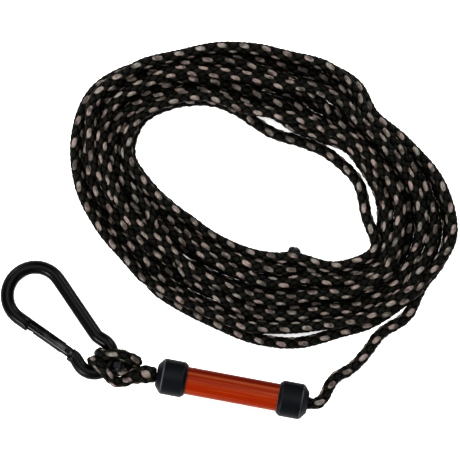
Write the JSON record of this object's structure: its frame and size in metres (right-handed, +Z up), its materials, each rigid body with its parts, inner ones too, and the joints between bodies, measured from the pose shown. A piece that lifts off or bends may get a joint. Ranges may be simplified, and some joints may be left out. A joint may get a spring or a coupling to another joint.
{
  "type": "tow rope handle",
  "caption": "Short round grip threaded on a braided tow rope, with a snap hook tied on at one end and a coil of rope at the other.",
  "frame": {"origin": "on the floor under the middle of the handle", "axes": "+X along the handle from the hook end to the coil end, +Z up from the floor that it lies on, +Y towards the coil"},
  "size_m": [0.3427, 0.2863, 0.0308],
  "materials": {
    "hook": "satin black",
    "bright_steel": "plain",
    "cap_rubber": "moulded, satin",
    "tube": "glossy red-orange, drawn",
    "rope": "diamond braid, black with tan flecks",
    "melted_fibre": "melted and set"
  },
  "bodies": {
    "rope": {"rope_in_handle": "rope", "rope_neck": "rope", "rope_knot": "rope", "rope_turn_left": "rope", "rope_turn_right": "rope", "knot_tail_tip": "melted_fibre", "rope_lead": "rope", "rope_coil": "rope", "rope_end_tip": "melted_fibre"},
    "handle": {"handle_tube": "tube", "end_cap_hook_side": "cap_rubber", "end_cap_rope_side": "cap_rubber"},
    "hook": {"hook_body": "hook", "gate_rivet": "hook"},
    "gate": {"hook_gate": "hook", "gate_spring": "bright_steel"},
    "plunger": {"gate_plunger": "bright_steel"}
  },
  "joints": [
    {"name": "handle_spin", "type": "hinge", "parent": "rope", "child": "handle", "pos_m": [0, 0, 0.0142], "axis": [1, 0, 0], "continuous": true},
    {"name": "hook_swing", "type": "hinge", "parent": "rope", "child": "hook", "pos_m": [-0.1116, 0.0061, 0.01485], "axis": [-0.087, 0.0607, 0.9944], "range_deg": [-30, 75]},
    {"name": "gate_open", "type": "hinge", "parent": "hook", "child": "gate", "pos_m": [-0.13297, 0.00558, 0.01301], "axis": [0.087, -0.0607, -0.9944], "range_deg": [0, 34], "stiffness_Nm_per_rad": 0.05, "springref_deg": -11.46},
    {"name": "plunger_slide", "type": "slide", "parent": "gate", "child": "plunger", "axis": [-0.9047, 0.4131, -0.1043], "range_m": [0, 0.0012]}
  ],
  "couplings": [
    {"joint": "plunger_slide", "follows": "gate_open", "m_per_rad": 0.00175}
  ]
}
